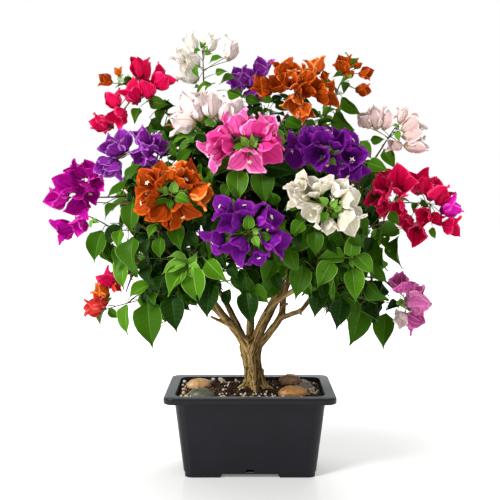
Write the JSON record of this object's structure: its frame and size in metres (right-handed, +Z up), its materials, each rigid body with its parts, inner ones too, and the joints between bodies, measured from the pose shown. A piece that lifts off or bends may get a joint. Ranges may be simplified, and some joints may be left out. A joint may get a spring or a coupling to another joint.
{
  "type": "potted bougainvillea bush",
  "caption": "Round flowering bush in a black rectangular plastic pot: short flared trunk, forking boughs, hanging leaves, and papery flower heads in mixed colours.",
  "frame": {"origin": "on the ground, under the middle of the whole plant and pot", "axes": "+Z up, -Y towards the front that the picture shows, +X to the right of that front"},
  "size_m": [0.7007, 0.5982, 0.7375],
  "materials": {
    "pot_plastic": "satin moulded plastic",
    "soil": "matt, moist potting mix",
    "pebble": "smooth, water worn",
    "bark": "rough, ridged bark",
    "leaf": "glossy leaf",
    "bract_crimson": "papery",
    "bract_magenta": "papery",
    "bract_purple": "papery",
    "bract_orange": "papery",
    "bract_pink": "papery",
    "bract_white": "papery",
    "bract_blush": "papery",
    "bract_coral": "papery",
    "bract_mauve": "papery"
  },
  "bodies": {
    "root": {"pot": "pot_plastic", "soil": "soil", "pebble_tan": "pebble", "pebble_green": "pebble", "pebble_brown": "pebble", "pebble_grey": "pebble", "pebble_amber": "pebble", "trunk": "bark", "bough_left_low": "bark", "bough_top_right": "bark", "bough_right_high": "bark", "bough_back_high": "bark", "bough_back_left_low": "bark", "bough_back_right_low": "bark", "bough_left_high": "bark", "bough_front_left_low": "bark", "bough_top_left": "bark", "bough_front_high": "bark", "bough_front_right_low": "bark", "bough_right_low": "bark", "foliage_left_low": "leaf", "foliage_top_right": "leaf", "foliage_right_high": "leaf", "foliage_back_high": "leaf", "foliage_back_left_low": "leaf", "foliage_back_right_low": "leaf", "foliage_left_high": "leaf", "foliage_front_left_low": "leaf", "foliage_top_left": "leaf", "foliage_front_high": "leaf", "foliage_front_right_low": "leaf", "foliage_right_low": "leaf", "flowers_crimson_left_top": "bract_crimson", "flowers_white_top": "bract_white", "flowers_blush_upper_left": "bract_blush", "flowers_purple_top": "bract_purple", "flowers_orange_top": "bract_orange", "flowers_orange_right_top": "bract_orange", "flowers_blush_right": "bract_blush", "flowers_purple_upper_left": "bract_purple", "flowers_magenta_left": "bract_magenta", "flowers_orange_front_left": "bract_orange", "flowers_pink_front": "bract_pink", "flowers_purple_front_right": "bract_purple", "flowers_white_front_right": "bract_white", "flowers_crimson_right": "bract_crimson", "flowers_crimson_right_inner": "bract_crimson", "flowers_purple_front": "bract_purple", "flowers_coral_lower_left": "bract_coral", "flowers_mauve_lower_right": "bract_mauve", "flowers_crimson_back_left_top": "bract_crimson", "flowers_orange_back_left": "bract_orange", "flowers_blush_back_top": "bract_blush", "flowers_purple_back": "bract_purple", "flowers_pink_back_right_top": "bract_pink", "flowers_magenta_back": "bract_magenta", "flowers_crimson_back_right": "bract_crimson", "flowers_white_back_low": "bract_white", "flowers_orange_back_right_low": "bract_orange", "flowers_mauve_back_left_low": "bract_mauve"}
  },
  "joints": []
}
